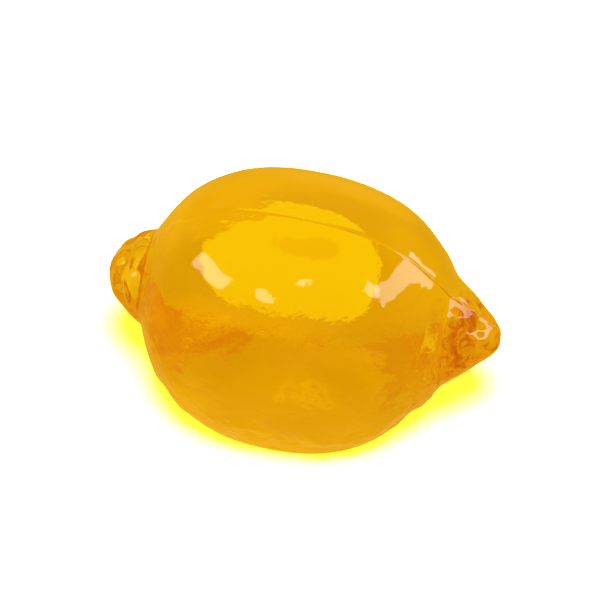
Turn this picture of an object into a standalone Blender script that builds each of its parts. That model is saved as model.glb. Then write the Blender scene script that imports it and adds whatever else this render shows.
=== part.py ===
"""A moulded clear jelly sweet in the shape of a small lemon, lying on its flat poured face.

Everything is in metres with Z up. X runs along the lemon, from its blunt stem end at -X to its
pointed nipple end at +X. The origin is the middle of the sweet's footprint, on the plane it rests on.
"""

import math

import bmesh
import bpy
from mathutils import Vector, noise

MM = 0.001

# The lemon's body is a full barrel turned about its long axis. Below the axis its section is
# fuller than a circle, and it is cut off flat at the bottom.
BODY_RADIUS = 10.2 * MM
BODY_HALF_LENGTH = 11.65 * MM
BODY_MIDDLE = -0.3 * MM
STEM_SIDE_FULLNESS = 2.45
NIPPLE_SIDE_FULLNESS = 2.2
AXIS_HEIGHT = 6.6 * MM
UNDERSIDE_FULLNESS = 0.5

# Both ends are conics of revolution that run into the body. Each apex has a radius, and the flare
# opens the form into a cone when it is positive and closes it into a knob when it is negative.
TIP_REACH = 15.0 * MM
TIP_RISE = 0.5 * MM
NIPPLE_APEX_RADIUS = 1.3 * MM
NIPPLE_FLARE = 0.5
STEM_APEX_RADIUS = 3.0 * MM
STEM_FLARE = -0.6
END_DEPTH = 5.0 * MM
NECK_BLEND = 2.2 * MM

# Creases run round each knob and small ribs run down it
CREASE_FROM_TIP = 1.5 * MM
CREASE_WIDTH = 0.45 * MM
CREASE_DEPTH = 0.16 * MM
RIB_COUNT = 7
RIB_HEIGHT = 0.12 * MM
RIB_REACH = 3.2 * MM

# The mould's two halves leave a fine raised line lengthwise over the dome
SEAM_HEIGHT = 0.14 * MM
SEAM_HALF_WIDTH = 0.22 * MM
SEAM_HALF_ANGLE = math.radians(0.9)

# The skin is uneven like peel, more so low down and at the ends than on top
PEEL_GRAIN = 1.7 * MM
PEEL_HEIGHT = 0.15 * MM
PEEL_ON_TOP = 0.10
PEEL_ON_SIDES = 0.22
PEEL_AT_RIM = 0.5
PEEL_AT_TIPS = 0.75
SWELL_GRAIN = 7.0 * MM
SWELL_HEIGHT = 0.16 * MM
PEEL_STARTS_ABOVE = 0.9 * MM

# The poured face is flat right up to its slightly kinked rim, with a small dimple in its middle
LIP_FLARE = 0.08 * MM
LIP_FLARE_HEIGHT = 0.7 * MM
RIM_KINK = 0.10 * MM
RIM_KINKS_ROUND = 3.2
FACE_RING_INSETS = (0.8 * MM, 2.4 * MM)
DIMPLE_RINGS = ((2.4 * MM, 0.0), (1.9 * MM, 0.07 * MM), (1.2 * MM, 0.23 * MM), (0.6 * MM, 0.29 * MM))
DIMPLE_DEPTH = 0.30 * MM

# How the skin is divided: closer columns at the ends, closer rows at the height of the tips
COLUMNS = 108
END_CROWDING = 0.48
ROWS = 34
ROW_CROWDING = 0.42
CROWDED_ROW = 0.31
LIP_ROW = 0.3
HALVINGS = 32

JELLY_COLOUR = (0.90, 0.47, 0.01, 1.0)
JELLY_ROUGHNESS = 0.08
JELLY_INDEX = 1.45
SHARP_EDGE = math.radians(40)


def smooth_larger(first, second, blend):
    """The larger of two lengths, rounded off where they are nearly equal."""
    overlap = max(blend - abs(first - second), 0.0)
    return max(first, second) + overlap * overlap / (4 * blend)


def bump(distance, width):
    """A rounded ridge of height 1 that fades away at about twice its width."""
    return math.exp(-((distance / width) ** 2))


def rising(value, low, high):
    """Goes smoothly from 0 at low to 1 at high."""
    share = min(max((value - low) / (high - low), 0.0), 1.0)
    return share * share * (3 - 2 * share)


def body_radius(x):
    along = x - BODY_MIDDLE
    fullness = STEM_SIDE_FULLNESS if along < 0 else NIPPLE_SIDE_FULLNESS
    share = min(abs(along) / BODY_HALF_LENGTH, 1.0)
    return BODY_RADIUS * (1 - share**fullness) ** (1 / fullness)


def end_radius(x):
    """The radius of the nipple or of the stem knob at x, without the body."""
    from_tip = min(TIP_REACH - abs(x), END_DEPTH)
    if from_tip <= 0:
        return 0.0
    apex_radius = NIPPLE_APEX_RADIUS if x > 0 else STEM_APEX_RADIUS
    flare = NIPPLE_FLARE if x > 0 else STEM_FLARE
    radius = math.sqrt(2 * apex_radius * from_tip + flare * from_tip * from_tip)
    return radius - CREASE_DEPTH * bump(from_tip - CREASE_FROM_TIP, CREASE_WIDTH)


def lemon_radius(x):
    if abs(x) >= TIP_REACH:
        return 0.0
    return smooth_larger(body_radius(x), end_radius(x), NECK_BLEND)


def axis_height(x):
    """Height of the lemon's own axis, which rises a little towards both tips."""
    return AXIS_HEIGHT + TIP_RISE * (x / TIP_REACH) ** 2


def is_inside(point):
    """Whether a point is in the plain lemon, whose section is round above its axis and fuller below."""
    above = point.z - axis_height(point.x)
    fullness = 2.0
    if above < 0:
        fullness += UNDERSIDE_FULLNESS * (1 - min((point.x / TIP_REACH) ** 2, 1.0))
    return abs(point.y) ** fullness + abs(above) ** fullness < lemon_radius(point.x) ** fullness


def reach_of_skin(start, direction):
    """How far the plain lemon goes from a point inside it, in a direction."""
    near, far = 0.0, 2 * TIP_REACH
    for _ in range(HALVINGS):
        middle = (near + far) / 2
        if is_inside(start + direction * middle):
            near = middle
        else:
            far = middle
    return near


def rim_reach(azimuth):
    """Distance from the origin to the rim of the poured face, which is slightly kinked."""
    direction = Vector((math.cos(azimuth), math.sin(azimuth), 0.0))
    kinks = noise.noise(direction * RIM_KINKS_ROUND)
    return reach_of_skin(Vector((0.0, 0.0, 0.0)), direction) + RIM_KINK * kinks


def column_azimuths():
    """Directions round the origin, closer together at both ends and doubled beside the seam."""
    azimuths = [SEAM_HALF_ANGLE, -SEAM_HALF_ANGLE, math.pi - SEAM_HALF_ANGLE, SEAM_HALF_ANGLE - math.pi]
    for column in range(COLUMNS):
        turn = math.tau * column / COLUMNS - math.pi
        azimuths.append(turn - END_CROWDING / 2 * math.sin(2 * turn))
    return sorted(azimuths)


def row_share(step):
    """Share of the way up from the rim to the top, for a step counted in rows."""
    share = step / ROWS
    phase = math.sin(math.tau * (share - CROWDED_ROW)) + math.sin(math.tau * CROWDED_ROW)
    return share - ROW_CROWDING / math.tau * phase


def skin_point(azimuth, share):
    """A point of the plain lemon, share of the way up along one column."""
    lowest = -math.atan2(AXIS_HEIGHT, rim_reach(azimuth))
    elevation = lowest + (math.pi / 2 - lowest) * share
    level = math.cos(elevation)
    direction = Vector((level * math.cos(azimuth), level * math.sin(azimuth), math.sin(elevation)))
    heart = Vector((0.0, 0.0, AXIS_HEIGHT))
    return heart + direction * reach_of_skin(heart, direction)


def ring_edges(ring):
    """Edges that join each vertex of a ring to the next one round it."""
    edges = []
    for vertex, following in zip(ring, ring[1:] + ring[:1]):
        edges += [edge for edge in vertex.link_edges if edge.other_vert(vertex) is following]
    return edges


def extrude_ring(mesh, ring, places):
    """Extrudes a ring of vertices and moves the new ring to the given places."""
    made = bmesh.ops.extrude_edge_only(mesh, edges=ring_edges(ring))["geom"]
    new_vertices = {item for item in made if isinstance(item, bmesh.types.BMVert)}
    new_ring = []
    for vertex, place in zip(ring, places):
        copies = [edge.other_vert(vertex) for edge in vertex.link_edges]
        new_vertex = next(copy for copy in copies if copy in new_vertices)
        new_vertex.co = place
        new_ring.append(new_vertex)
    return new_ring


def close_ring(mesh, ring, place):
    """Closes a ring with a fan of triangles that meet at one place."""
    last_ring = extrude_ring(mesh, ring, [place] * len(ring))
    bmesh.ops.pointmerge(mesh, verts=last_ring, merge_co=place)


def raise_skin(mesh, rim):
    """Builds the domed skin upwards from the rim."""
    azimuths = column_azimuths()
    steps = [LIP_ROW] + list(range(1, ROWS))
    ring = rim
    for step in steps:
        places = [skin_point(azimuth, row_share(step)) for azimuth in azimuths]
        ring = extrude_ring(mesh, ring, places)
    top = skin_point(0.0, 1.0)
    close_ring(mesh, ring, top)


def sink_face(mesh, rim):
    """Builds the poured face inwards from the rim: flat at first, then a small round dimple."""
    azimuths = column_azimuths()
    ring = rim
    for inset in FACE_RING_INSETS:
        places = []
        for azimuth in azimuths:
            reach = rim_reach(azimuth) - inset
            places.append(Vector((reach * math.cos(azimuth), reach * math.sin(azimuth), 0.0)))
        ring = extrude_ring(mesh, ring, places)
    for radius, height in DIMPLE_RINGS:
        places = [Vector((radius * math.cos(a), radius * math.sin(a), height)) for a in azimuths]
        ring = extrude_ring(mesh, ring, places)
    close_ring(mesh, ring, Vector((0.0, 0.0, DIMPLE_DEPTH)))


def peel_relief(place):
    """Height of the skin's unevenness at a place on it."""
    towards_tip = rising(abs(place.x), 0.6 * TIP_REACH, 0.9 * TIP_REACH)
    below_top = 1 - rising(place.z, AXIS_HEIGHT, 1.8 * AXIS_HEIGHT)
    near_rim = 1 - rising(place.z, 0.15 * AXIS_HEIGHT, 0.45 * AXIS_HEIGHT)
    strength = PEEL_ON_TOP + (PEEL_ON_SIDES - PEEL_ON_TOP) * below_top
    strength += (PEEL_AT_RIM - PEEL_ON_SIDES) * near_rim
    strength += (PEEL_AT_TIPS - strength) * towards_tip
    grain = PEEL_HEIGHT * strength * noise.noise(place / PEEL_GRAIN)
    swell = SWELL_HEIGHT * noise.noise(place / SWELL_GRAIN)
    return grain + swell


def rib_relief(place):
    """Height of the small ribs that run down both ends from the tip."""
    from_tip = TIP_REACH - abs(place.x)
    around = math.atan2(place.y, place.z - axis_height(place.x))
    fading = rising(from_tip, 0.0, CREASE_FROM_TIP) * (1 - rising(from_tip, CREASE_FROM_TIP, RIB_REACH))
    return RIB_HEIGHT * fading * math.cos(RIB_COUNT * around)


def seam_relief(place):
    return SEAM_HEIGHT * bump(place.y, SEAM_HALF_WIDTH)


def add_relief(mesh, skin):
    """Moves each vertex of the skin out along its normal by the relief at its place."""
    mesh.normal_update()
    moves = []
    for vertex in skin:
        relief = peel_relief(vertex.co) + rib_relief(vertex.co) + seam_relief(vertex.co)
        relief *= rising(vertex.co.z, 0.0, PEEL_STARTS_ABOVE)
        relief += LIP_FLARE * (1 - rising(vertex.co.z, 0.0, LIP_FLARE_HEIGHT))
        moves.append((vertex, vertex.normal * relief))
    for vertex, move in moves:
        vertex.co += move
        vertex.co.z = max(vertex.co.z, 0.0)


def jelly_material():
    material = bpy.data.materials.new("lemon_jelly")
    material.use_nodes = True
    shader = material.node_tree.nodes["Principled BSDF"]
    shader.inputs["Base Color"].default_value = JELLY_COLOUR
    shader.inputs["Roughness"].default_value = JELLY_ROUGHNESS
    shader.inputs["Metallic"].default_value = 0.0
    shader.inputs["IOR"].default_value = JELLY_INDEX
    return material


def make_gummy_lemon():
    mesh = bmesh.new()
    azimuths = column_azimuths()
    rim = bmesh.ops.create_circle(mesh, segments=len(azimuths), radius=BODY_RADIUS)["verts"]
    for vertex, azimuth in zip(rim, azimuths):
        reach = rim_reach(azimuth)
        vertex.co = Vector((reach * math.cos(azimuth), reach * math.sin(azimuth), 0.0))
    raise_skin(mesh, rim)
    skin = list(mesh.verts)
    bmesh.ops.recalc_face_normals(mesh, faces=mesh.faces)
    add_relief(mesh, skin)
    sink_face(mesh, rim)
    bmesh.ops.recalc_face_normals(mesh, faces=mesh.faces)
    data = bpy.data.meshes.new("gummy_lemon")
    mesh.to_mesh(data)
    mesh.free()
    data.shade_smooth()
    data.set_sharp_from_angle(angle=SHARP_EDGE)
    data.materials.append(jelly_material())
    lemon = bpy.data.objects.new("gummy_lemon", data)
    bpy.context.scene.collection.objects.link(lemon)
    return lemon


def main():
    for old_object in list(bpy.data.objects):
        bpy.data.objects.remove(old_object)
    make_gummy_lemon()


main()
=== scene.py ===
"""Looks of the moulded lemon jelly sweet: clear yellow-orange jelly on a white studio floor.

The sweet's skin is rebuilt finely from the same named sizes as its solid, with the peel texture,
the mould's seam, the ribs of both ends and the streaks of the poured face as real relief.
"""

import math

import bpy
import numpy as np
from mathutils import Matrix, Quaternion, Vector, noise


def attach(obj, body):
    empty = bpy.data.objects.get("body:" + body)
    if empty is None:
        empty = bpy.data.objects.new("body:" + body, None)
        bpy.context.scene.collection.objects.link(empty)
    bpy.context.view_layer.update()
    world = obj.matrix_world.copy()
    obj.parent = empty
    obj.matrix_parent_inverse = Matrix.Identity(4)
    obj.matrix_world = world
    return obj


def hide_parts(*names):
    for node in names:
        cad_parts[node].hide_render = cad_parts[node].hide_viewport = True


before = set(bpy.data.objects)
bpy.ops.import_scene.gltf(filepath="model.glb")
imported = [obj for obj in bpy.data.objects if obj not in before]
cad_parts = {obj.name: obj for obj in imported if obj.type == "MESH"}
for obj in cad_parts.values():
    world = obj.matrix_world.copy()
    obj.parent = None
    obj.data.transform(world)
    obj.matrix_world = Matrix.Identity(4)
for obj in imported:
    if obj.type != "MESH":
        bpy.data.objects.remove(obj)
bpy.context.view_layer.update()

MM = 0.001
NODE = "gummy_lemon"

# The lemon's form, as in the solid
BODY_RADIUS = 10.2 * MM
BODY_HALF_LENGTH = 11.65 * MM
BODY_MIDDLE = -0.3 * MM
STEM_SIDE_FULLNESS = 2.45
NIPPLE_SIDE_FULLNESS = 2.2
AXIS_HEIGHT = 6.6 * MM
UNDERSIDE_FULLNESS = 0.5
HEART = np.array([0.0, 0.0, AXIS_HEIGHT])
TIP_REACH = 15.0 * MM
TIP_RISE = 0.5 * MM
NIPPLE_APEX_RADIUS = 1.3 * MM
NIPPLE_FLARE = 0.5
STEM_APEX_RADIUS = 3.0 * MM
STEM_FLARE = -0.6
END_DEPTH = 5.0 * MM
NECK_BLEND = 2.2 * MM
CREASE_FROM_TIP = 1.5 * MM
CREASE_WIDTH = 0.45 * MM
CREASE_DEPTH = 0.16 * MM
RIB_COUNT = 7
RIB_HEIGHT = 0.12 * MM
RIB_REACH = 3.2 * MM
SWELL_GRAIN = 7.0 * MM
SWELL_HEIGHT = 0.16 * MM
PEEL_GRAIN = 1.7 * MM
PEEL_HEIGHT = 0.15 * MM
PEEL_STARTS_ABOVE = 0.9 * MM
LIP_FLARE = 0.08 * MM
LIP_FLARE_HEIGHT = 0.7 * MM
RIM_KINK = 0.10 * MM
RIM_KINKS_ROUND = 3.2

# How strongly the peel shows in each zone, and where the zones change over
PEEL_ON_TOP = 0.10
PEEL_ON_SIDES = 0.34
PEEL_AT_RIM = 1.3
PEEL_AT_TIPS = 0.75
RIM_ZONE_UP_TO = 0.35 * AXIS_HEIGHT
SIDE_ZONE_FROM = 0.9 * AXIS_HEIGHT
SIDE_ZONE_UP_TO = AXIS_HEIGHT
TOP_ZONE_FROM = 1.8 * AXIS_HEIGHT
BODY_ZONE_OUT_TO = 0.6 * TIP_REACH
TIP_ZONE_FROM = 0.9 * TIP_REACH

# Relief finer than the solid's: a thin seam that fades away from the nipple, wrinkles and pores
SEAM_HEIGHT = 0.05 * MM
SEAM_HALF_WIDTH = 0.11 * MM
SEAM_FAINTEST = 0.3
SEAM_FADES_FROM = 7.0 * MM
SEAM_FAINT_FROM = 0.5 * MM
SEAM_WANDER = 0.12 * MM
SEAM_WANDER_GRAIN = 5.0 * MM
WRINKLE_GRAIN = 0.75 * MM
WRINKLE_HEIGHT = 0.05 * MM
PORE_SPACING = 1.15 * MM
PORE_REACH = 0.42
PORE_DEPTH = 0.07 * MM
FINE_KINK = 0.05 * MM
FINE_KINKS_ROUND = 15.0

# The poured face: flat right up to a narrow rounded lip, with a round dimple and faint streaks
LIP_ROUNDING = 0.05 * MM
LIP_ROUNDING_WIDTH = 0.14 * MM
DIMPLE_DEPTH = 0.30 * MM
DIMPLE_INNER = 0.3 * MM
DIMPLE_OUTER = 2.4 * MM
STREAK_LENGTH = 7.0 * MM
STREAK_WIDTH = 0.8 * MM
STREAK_HEIGHT = 0.004 * MM
STREAKS_START = 0.75 * MM
STREAKS_FULL = 3 * STREAKS_START

# How finely the piece is divided
COLUMNS = 452
END_CROWDING = 0.3
SEAM_COLUMN_TURNS = (0.25, 0.6, 1.0)
ROWS = 165
ROW_CROWDING = 0.3
CROWDED_ROW = 0.31
FACE_ROWS = 26
FACE_ROW_CROWDING = 1.35
HALVINGS = 40

# Clear jelly: what a metre of it takes from red, green and blue light, how strongly it bends
# light, and the tints of its surface and shine
ABSORBED_PER_M = (1.5, 9.5, 560.0)
JELLY_INDEX = 1.45
SURFACE_TINT = (1.0, 0.99, 0.80, 1.0)
SHINE_TINT = (1.0, 1.0, 0.9, 1.0)

# The wet skin: patches of duller film and a fine grain, whose scales are features per millimetre
ROUGHNESS_LOW = 0.015
ROUGHNESS_HIGH = 0.06
FILM_SCALE = 0.35
FILM_DETAIL = 3.0
FILM_STARTS = 0.35
FILM_FULL = 0.7
GRAIN_SCALE = 2.6
GRAIN_DETAIL = 2.0
GRAIN_STRENGTH = 0.5
SKIN_BUMP_DEPTH = 0.01 * MM

# The floor: it glows yellow by itself, a painted yellow shadow that stands in for the light coming through
# the jelly, and turns white where the overhead lamp reaches it
FLOOR_GAP = 0.03 * MM
FLOOR_SIZE = 3.0
FLOOR_COLOUR = (0.92, 0.92, 0.92, 1.0)
FLOOR_ROUGHNESS = 0.9
FLOOR_PAINTED_SHADOW_GLOW = (1.0, 0.98, 0.03, 1.0)
FLOOR_PAINTED_SHADOW_GLOW_STRENGTH = 1.0
OVERHEAD_AZIMUTH = 20.0
OVERHEAD_ELEVATION = 81.0
OVERHEAD_DISTANCE = 0.5
OVERHEAD_SIZE = 0.24
OVERHEAD_ON_FLOOR = 1.5

# Lamps that show only as a shine on the skin. Each row has the azimuth from the camera, the
# elevation, the width, the height and the roll, in degrees and metres
SOFTBOX_DISTANCE = 0.55
SOFTBOX_RADIANCE = 4.8
SOFTBOXES = {
    "left_softbox": (-85.0, 39.0, 0.36, 0.12, 24.0),
    "right_softbox": (96.5, 28.5, 0.58, 0.13, -34.0),
    "left_lamp": (-32.0, 50.0, 0.055, 0.09, 25.0),
    "middle_lamp": (-6.5, 69.0, 0.04, 0.06, -20.0),
    "right_lamp": (69.5, 48.0, 0.10, 0.11, 10.0),
}

# The amber all round, which shows through the jelly and on its skin
SURROUNDINGS_DEEP = (0.75, 0.40, 0.03, 1.0)
SURROUNDINGS_PALE = (0.91, 0.51, 0.07, 1.0)
SURROUNDINGS_SCALE = 1.7
SURROUNDINGS_DETAIL = 1.0
DEEP_UP_TO = 0.35
PALE_FROM = 0.65

# Elliptical glowing panels below the floor, which show only through the jelly: the lit panel behind
# the sweet makes the bright disc, and the dim patch in front of it makes the disc's dim spot. Each
# row has the azimuth from the camera, the elevation, the distance, the width, the height and the
# colour
PANEL_CORNERS = 72
PANELS = {
    "lit_panel": (178.0, -37.0, 0.50, 0.20, 0.34, (0.97, 0.67, 0.4, 1.0)),
    "dim_patch": (181.5, -40.0, 0.49, 0.05, 0.055, (0.93, 0.58, 0.35, 1.0)),
    "left_panel": (-92.0, -37.0, 0.50, 0.20, 0.34, (0.93, 0.79, 0.4, 1.0)),
    "right_panel": (92.0, -37.0, 0.50, 0.20, 0.34, (0.93, 0.79, 0.4, 1.0)),
    "front_panel": (0.0, -37.0, 0.50, 0.20, 0.34, (0.93, 0.79, 0.4, 1.0)),
}

# The camera: its angles in degrees, its distance from the sweet's middle, and its lens and sensor
# in millimetres
CAMERA_AZIMUTH = 13.3
CAMERA_ELEVATION = 50.5
CAMERA_DISTANCE = 0.38
CAMERA_LENS = 300.0
CAMERA_SENSOR = 36.0
CAMERA_NEAR = 0.01
CAMERA_FAR = 10.0
AIM_AT = Vector((0.0, 0.0, 7.0 * MM))

# How often light is followed through the jelly and off its skin
ALL_BOUNCES = 64
THROUGH_BOUNCES = 60
SHINE_BOUNCES = 30


def rising(value, low, high):
    """Goes smoothly from 0 at low to 1 at high."""
    share = np.clip((value - low) / (high - low), 0.0, 1.0)
    return share * share * (3 - 2 * share)


def bump(distance, width):
    """Goes smoothly from 1 at no distance to nearly 0 at twice the width."""
    return np.exp(-((distance / width) ** 2))


def noise_at(places, grain):
    """Smooth noise at every place of an array of points, with features about a grain across."""
    flat = (places / grain).reshape(-1, 3)
    values = [noise.noise(place) for place in flat.tolist()]
    return np.array(values).reshape(places.shape[:-1])


def lemon_radius(x):
    """Radius of the plain lemon round its long axis."""
    along = x - BODY_MIDDLE
    fullness = np.where(along < 0, STEM_SIDE_FULLNESS, NIPPLE_SIDE_FULLNESS)
    share = np.minimum(np.abs(along) / BODY_HALF_LENGTH, 1.0)
    body = BODY_RADIUS * (1 - share**fullness) ** (1 / fullness)
    from_tip = np.clip(TIP_REACH - np.abs(x), 0.0, END_DEPTH)
    apex_radius = np.where(x > 0, NIPPLE_APEX_RADIUS, STEM_APEX_RADIUS)
    flare = np.where(x > 0, NIPPLE_FLARE, STEM_FLARE)
    end = np.sqrt(2 * apex_radius * from_tip + flare * from_tip * from_tip)
    end = end - CREASE_DEPTH * bump(from_tip - CREASE_FROM_TIP, CREASE_WIDTH)
    overlap = np.maximum(NECK_BLEND - np.abs(body - end), 0.0)
    joined = np.maximum(body, end) + overlap * overlap / (4 * NECK_BLEND)
    return np.where(np.abs(x) < TIP_REACH, joined, 0.0)


def axis_height(x):
    """Height of the lemon's long axis, which rises a little towards both tips."""
    return AXIS_HEIGHT + TIP_RISE * (x / TIP_REACH) ** 2


def is_inside(x, y, z):
    """Whether places are in the plain lemon, whose section is round above its axis and fuller below."""
    above = z - axis_height(x)
    from_middle = np.minimum((x / TIP_REACH) ** 2, 1.0)
    fullness = np.where(above > 0, 2.0, 2.0 + UNDERSIDE_FULLNESS * (1 - from_middle))
    return np.abs(y) ** fullness + np.abs(above) ** fullness < lemon_radius(x) ** fullness


def reach_of_skin(start, directions):
    """How far the plain lemon goes from a point inside it, in each direction."""
    near = np.zeros(directions.shape[:-1])
    far = np.full(directions.shape[:-1], 2 * TIP_REACH)
    for _ in range(HALVINGS):
        middle = (near + far) / 2
        places = start + directions * middle[..., None]
        x, y, z = np.moveaxis(places, -1, 0)
        inside = is_inside(x, y, z)
        near = np.where(inside, middle, near)
        far = np.where(inside, far, middle)
    return near


def column_azimuths():
    """Directions round the origin, closer together at both ends and beside the seam."""
    turns = math.tau * np.arange(COLUMNS) / COLUMNS - math.pi
    azimuths = turns - END_CROWDING / 2 * np.sin(2 * turns)
    beside = np.radians([side * turn for turn in SEAM_COLUMN_TURNS for side in (-1, 1)])
    past_half_turn = np.where(beside > 0, beside - math.pi, beside + math.pi)
    return np.sort(np.concatenate([azimuths, beside, past_half_turn]))


def rim_reach(azimuths):
    """Distance from the origin to the kinked rim of the poured face."""
    directions = np.stack([np.cos(azimuths), np.sin(azimuths), np.zeros_like(azimuths)], axis=-1)
    kinks = RIM_KINK * noise_at(directions, 1 / RIM_KINKS_ROUND)
    kinks += FINE_KINK * noise_at(directions, 1 / FINE_KINKS_ROUND)
    return reach_of_skin(np.zeros(3), directions) + kinks


def skin_rings(azimuths, rim):
    """Rings of the plain lemon from just under the top down to just above the rim."""
    shares = np.arange(ROWS - 1, 0, -1) / ROWS
    phase = np.sin(math.tau * (shares - CROWDED_ROW)) + math.sin(math.tau * CROWDED_ROW)
    shares = (shares - ROW_CROWDING / math.tau * phase)[:, None]
    lowest = -np.arctan2(AXIS_HEIGHT, rim)[None, :]
    elevations = lowest + (math.pi / 2 - lowest) * shares
    level = np.cos(elevations)
    directions = np.stack(
        [level * np.cos(azimuths), level * np.sin(azimuths), np.sin(elevations)], axis=-1
    )
    return HEART + directions * reach_of_skin(HEART, directions)[..., None]


def face_rings(azimuths, rim):
    """Rings of the poured face from its rim in towards the middle."""
    shares = (np.arange(FACE_ROWS) / FACE_ROWS)[:, None] ** FACE_ROW_CROWDING
    reach = rim[None, :] * (1 - shares)
    inset = rim[None, :] - reach
    height = LIP_ROUNDING * (1 - rising(inset, 0.0, LIP_ROUNDING_WIDTH))
    height += DIMPLE_DEPTH * (1 - rising(reach, DIMPLE_INNER, DIMPLE_OUTER))
    rings = np.stack([reach * np.cos(azimuths), reach * np.sin(azimuths), height], axis=-1)
    stretched = rings / np.array([STREAK_LENGTH, STREAK_WIDTH, STREAK_WIDTH])
    streaks = STREAK_HEIGHT * noise_at(stretched, 1.0)
    rings[..., 2] += streaks * rising(inset, STREAKS_START, STREAKS_FULL)
    return rings


def ring_faces(ring_count, columns):
    """Quads between rings that follow one another, and fans to a first and a last vertex."""
    following = np.roll(np.arange(columns), -1)
    faces = []
    for ring in range(ring_count - 1):
        upper = 1 + ring * columns
        lower = upper + columns
        for column in range(columns):
            following_column = int(following[column])
            faces.append(
                (upper + column, lower + column, lower + following_column, upper + following_column)
            )
    last_ring = 1 + (ring_count - 1) * columns
    last = last_ring + columns
    for column in range(columns):
        following_column = int(following[column])
        faces.append((0, 1 + column, 1 + following_column))
        faces.append((last, last_ring + following_column, last_ring + column))
    return faces


def pores(places):
    """Share of a pore's depth at every place: 1 in the middle of a pore and 0 between pores."""
    shares = []
    for place in (places / PORE_SPACING).tolist():
        distances, _ = noise.voronoi(place)
        shares.append(max(0.0, 1 - distances[0] / PORE_REACH))
    return rising(np.array(shares), 0.0, 1.0)


def peel_strength(x, z):
    """How strongly the peel shows: least on top, more on the sides, most at the rim."""
    strength = PEEL_ON_TOP + (PEEL_ON_SIDES - PEEL_ON_TOP) * (1 - rising(z, SIDE_ZONE_UP_TO, TOP_ZONE_FROM))
    strength += (PEEL_AT_RIM - PEEL_ON_SIDES) * (1 - rising(z, RIM_ZONE_UP_TO, SIDE_ZONE_FROM))
    return strength + (PEEL_AT_TIPS - strength) * rising(np.abs(x), BODY_ZONE_OUT_TO, TIP_ZONE_FROM)


def relief(places):
    """Height of the skin's relief at every place of an array of points."""
    x, y, z = places.T
    strength = peel_strength(x, z)
    height = SWELL_HEIGHT * noise_at(places, SWELL_GRAIN)
    height += strength * PEEL_HEIGHT * noise_at(places, PEEL_GRAIN)
    height += strength * WRINKLE_HEIGHT * noise_at(places, WRINKLE_GRAIN)
    height -= strength * PORE_DEPTH * pores(places)
    from_tip = TIP_REACH - np.abs(x)
    around = np.arctan2(y, z - axis_height(x))
    fading = rising(from_tip, 0.0, CREASE_FROM_TIP) * (1 - rising(from_tip, CREASE_FROM_TIP, RIB_REACH))
    height += RIB_HEIGHT * fading * np.cos(RIB_COUNT * around)
    wander = SEAM_WANDER * noise_at(places, SEAM_WANDER_GRAIN)
    seam_strength = SEAM_FAINTEST + (1 - SEAM_FAINTEST) * rising(x, SEAM_FAINT_FROM, SEAM_FADES_FROM)
    height += seam_strength * SEAM_HEIGHT * bump(y + wander, SEAM_HALF_WIDTH)
    height *= rising(z, 0.0, PEEL_STARTS_ABOVE)
    return height + LIP_FLARE * (1 - rising(z, 0.0, LIP_FLARE_HEIGHT))


def make_jelly():
    """The sweet as one closed piece, from the top of the dome to the middle of its poured face."""
    azimuths = column_azimuths()
    rim = rim_reach(azimuths)
    skin = skin_rings(azimuths, rim)
    face = face_rings(azimuths, rim)
    up = np.array([[0.0, 0.0, 1.0]])
    top = HEART + up * reach_of_skin(HEART, up)[:, None]
    middle = np.array([[0.0, 0.0, DIMPLE_DEPTH]])
    skin_count = 1 + skin.shape[0] * skin.shape[1] + len(azimuths)
    places = np.concatenate([top, skin.reshape(-1, 3), face.reshape(-1, 3), middle])
    faces = ring_faces(len(skin) + len(face), len(azimuths))

    mesh = bpy.data.meshes.new("lemon_jelly")
    mesh.from_pydata(places.tolist(), [], faces)
    mesh.shade_smooth()
    normals = np.empty(len(places) * 3)
    mesh.vertex_normals.foreach_get("vector", normals)
    normals = normals.reshape(-1, 3)
    skin_places = places[:skin_count]
    places[:skin_count] = skin_places + normals[:skin_count] * relief(skin_places)[:, None]
    places[:, 2] = np.maximum(places[:, 2], 0.0)
    mesh.vertices.foreach_set("co", places.ravel())
    mesh.update()
    jelly = bpy.data.objects.new("lemon_jelly", mesh)
    bpy.context.scene.collection.objects.link(jelly)
    return jelly


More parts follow.
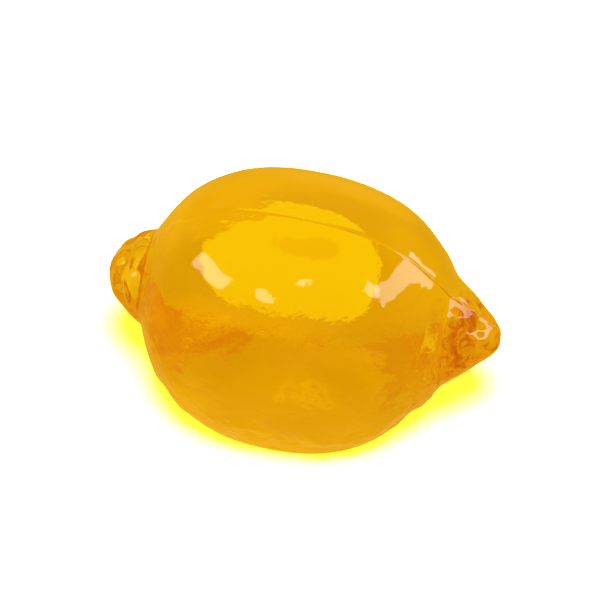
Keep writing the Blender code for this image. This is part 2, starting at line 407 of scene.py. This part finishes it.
def jelly_material():
    """Clear jelly: it refracts, takes blue and some green from the light, and has a wet skin."""
    material = bpy.data.materials.new("lemon_jelly")
    material.use_nodes = True
    nodes, links = material.node_tree.nodes, material.node_tree.links
    shader = nodes["Principled BSDF"]
    shader.inputs["Base Color"].default_value = SURFACE_TINT
    shader.inputs["Transmission Weight"].default_value = 1.0
    shader.inputs["IOR"].default_value = JELLY_INDEX
    shader.inputs["Specular Tint"].default_value = SHINE_TINT

    place = nodes.new("ShaderNodeNewGeometry")
    to_mm = nodes.new("ShaderNodeVectorMath")
    to_mm.operation = "SCALE"
    to_mm.inputs["Scale"].default_value = 1 / MM
    links.new(place.outputs["Position"], to_mm.inputs[0])

    film = nodes.new("ShaderNodeTexNoise")
    film.inputs["Scale"].default_value = FILM_SCALE
    film.inputs["Detail"].default_value = FILM_DETAIL
    links.new(to_mm.outputs["Vector"], film.inputs["Vector"])
    film_range = nodes.new("ShaderNodeMapRange")
    film_range.inputs["From Min"].default_value = FILM_STARTS
    film_range.inputs["From Max"].default_value = FILM_FULL
    film_range.inputs["To Min"].default_value = ROUGHNESS_LOW
    film_range.inputs["To Max"].default_value = ROUGHNESS_HIGH
    links.new(film.outputs["Fac"], film_range.inputs["Value"])
    links.new(film_range.outputs["Result"], shader.inputs["Roughness"])

    grain = nodes.new("ShaderNodeTexNoise")
    grain.inputs["Scale"].default_value = GRAIN_SCALE
    grain.inputs["Detail"].default_value = GRAIN_DETAIL
    links.new(to_mm.outputs["Vector"], grain.inputs["Vector"])
    skin_bump = nodes.new("ShaderNodeBump")
    skin_bump.inputs["Strength"].default_value = GRAIN_STRENGTH
    skin_bump.inputs["Distance"].default_value = SKIN_BUMP_DEPTH
    links.new(grain.outputs["Fac"], skin_bump.inputs["Height"])
    links.new(skin_bump.outputs["Normal"], shader.inputs["Normal"])

    densest = max(ABSORBED_PER_M)
    absorption = nodes.new("ShaderNodeVolumeAbsorption")
    absorption.inputs["Color"].default_value = [1 - share / densest for share in ABSORBED_PER_M] + [1.0]
    absorption.inputs["Density"].default_value = densest
    links.new(absorption.outputs["Volume"], nodes["Material Output"].inputs["Volume"])
    return material


def floor_material():
    """Matt white that also glows yellow, as a painted yellow shadow in place of the light that comes
    through the jelly.
    """
    material = bpy.data.materials.new("white_floor")
    material.use_nodes = True
    shader = material.node_tree.nodes["Principled BSDF"]
    shader.inputs["Base Color"].default_value = FLOOR_COLOUR
    shader.inputs["Roughness"].default_value = FLOOR_ROUGHNESS
    shader.inputs["Specular IOR Level"].default_value = 0.0
    # painted shadow colour: this yellow glow shows where the overhead lamp is shaded, in place of light
    # through the jelly
    shader.inputs["Emission Color"].default_value = FLOOR_PAINTED_SHADOW_GLOW
    shader.inputs["Emission Strength"].default_value = FLOOR_PAINTED_SHADOW_GLOW_STRENGTH
    return material


def make_floor():
    """The floor under the sweet, kept out of what shows through the jelly and on its skin."""
    half = FLOOR_SIZE / 2
    corners = [(x, y, -FLOOR_GAP) for x, y in ((-half, -half), (half, -half), (half, half), (-half, half))]
    mesh = bpy.data.meshes.new("floor")
    mesh.from_pydata(corners, [], [(0, 1, 2, 3)])
    mesh.materials.append(floor_material())
    floor = bpy.data.objects.new("floor", mesh)
    bpy.context.scene.collection.objects.link(floor)
    floor.visible_transmission = False
    floor.visible_glossy = False


def towards(azimuth, elevation):
    """Direction from the sweet to something seen at these angles; azimuth 0 is at -Y, 90 at +X."""
    turn = math.radians(azimuth)
    rise = math.radians(elevation)
    return Vector((math.sin(turn) * math.cos(rise), -math.cos(turn) * math.cos(rise), math.sin(rise)))


def make_softbox(name, azimuth, elevation, width, height, roll):
    """A rectangular lamp that shows only as a shine on the skin."""
    light = bpy.data.lights.new(name, "AREA")
    light.shape = "RECTANGLE"
    light.size = width
    light.size_y = height
    light.energy = SOFTBOX_RADIANCE * math.pi * width * height
    softbox = bpy.data.objects.new(name, light)
    direction = towards(CAMERA_AZIMUTH + azimuth, elevation)
    softbox.location = AIM_AT + direction * SOFTBOX_DISTANCE
    turned = direction.to_track_quat("Z", "Y") @ Quaternion((0.0, 0.0, 1.0), math.radians(roll))
    softbox.rotation_euler = turned.to_euler()
    softbox.visible_diffuse = False
    softbox.visible_transmission = False
    bpy.context.scene.collection.objects.link(softbox)


def make_overhead_light():
    """A round lamp for the floor alone, whose white fades to the painted yellow shadow glow beside the
    sweet.
    """
    light = bpy.data.lights.new("overhead", "AREA")
    light.shape = "DISK"
    light.size = OVERHEAD_SIZE
    light.energy = OVERHEAD_ON_FLOOR * math.pi**2 * OVERHEAD_DISTANCE**2
    overhead = bpy.data.objects.new("overhead", light)
    direction = towards(CAMERA_AZIMUTH + OVERHEAD_AZIMUTH, OVERHEAD_ELEVATION)
    overhead.location = direction * OVERHEAD_DISTANCE
    overhead.rotation_euler = direction.to_track_quat("Z", "Y").to_euler()
    overhead.visible_glossy = False
    overhead.visible_transmission = False
    bpy.context.scene.collection.objects.link(overhead)


def make_panel(name, azimuth, elevation, distance, width, height, colour):
    """An elliptical panel that faces the sweet and glows evenly."""
    material = bpy.data.materials.new(name)
    material.use_nodes = True
    shader = material.node_tree.nodes["Principled BSDF"]
    shader.inputs["Base Color"].default_value = (0.0, 0.0, 0.0, 1.0)
    shader.inputs["Emission Color"].default_value = colour
    shader.inputs["Emission Strength"].default_value = 1.0
    material.cycles.emission_sampling = "NONE"
    turns = [math.tau * corner / PANEL_CORNERS for corner in range(PANEL_CORNERS)]
    corners = [(width / 2 * math.cos(turn), height / 2 * math.sin(turn), 0.0) for turn in turns]
    mesh = bpy.data.meshes.new(name)
    mesh.from_pydata(corners, [], [tuple(range(PANEL_CORNERS))])
    mesh.materials.append(material)
    panel = bpy.data.objects.new(name, mesh)
    direction = towards(CAMERA_AZIMUTH + azimuth, elevation)
    panel.location = direction * distance
    panel.rotation_euler = direction.to_track_quat("Z", "Y").to_euler()
    panel.visible_glossy = False
    bpy.context.scene.collection.objects.link(panel)


def make_world():
    """Amber surroundings that change softly between a deep and a pale shade."""
    world = bpy.data.worlds.new("studio")
    world.use_nodes = True
    background = world.node_tree.nodes["Background"]
    background.inputs["Strength"].default_value = 1.0
    nodes, links = world.node_tree.nodes, world.node_tree.links
    directions = nodes.new("ShaderNodeTexCoord")
    patches = nodes.new("ShaderNodeTexNoise")
    patches.inputs["Scale"].default_value = SURROUNDINGS_SCALE
    patches.inputs["Detail"].default_value = SURROUNDINGS_DETAIL
    links.new(directions.outputs["Generated"], patches.inputs["Vector"])
    shades = nodes.new("ShaderNodeValToRGB")
    shades.color_ramp.elements[0].position = DEEP_UP_TO
    shades.color_ramp.elements[0].color = SURROUNDINGS_DEEP
    shades.color_ramp.elements[1].position = PALE_FROM
    shades.color_ramp.elements[1].color = SURROUNDINGS_PALE
    links.new(patches.outputs["Fac"], shades.inputs["Fac"])
    links.new(shades.outputs["Color"], background.inputs["Color"])
    bpy.context.scene.world = world


def make_camera():
    """The camera at the photographed angle, aimed at the middle of the sweet."""
    data = bpy.data.cameras.new("camera")
    data.lens = CAMERA_LENS
    data.sensor_width = CAMERA_SENSOR
    data.clip_start = CAMERA_NEAR
    data.clip_end = CAMERA_FAR
    camera = bpy.data.objects.new("camera", data)
    direction = towards(CAMERA_AZIMUTH, CAMERA_ELEVATION)
    camera.location = AIM_AT + direction * CAMERA_DISTANCE
    camera.rotation_euler = direction.to_track_quat("Z", "Y").to_euler()
    bpy.context.scene.collection.objects.link(camera)
    bpy.context.scene.camera = camera


jelly = make_jelly()
jelly.data.materials.append(jelly_material())
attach(jelly, "root")
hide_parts(NODE)

make_floor()
for panel_name, values in PANELS.items():
    make_panel(panel_name, *values)
for softbox_name, values in SOFTBOXES.items():
    make_softbox(softbox_name, *values)
make_overhead_light()
make_world()
make_camera()
bpy.context.scene.view_settings.view_transform = "Standard"
bpy.context.scene.cycles.max_bounces = ALL_BOUNCES
bpy.context.scene.cycles.transmission_bounces = THROUGH_BOUNCES
bpy.context.scene.cycles.glossy_bounces = SHINE_BOUNCES
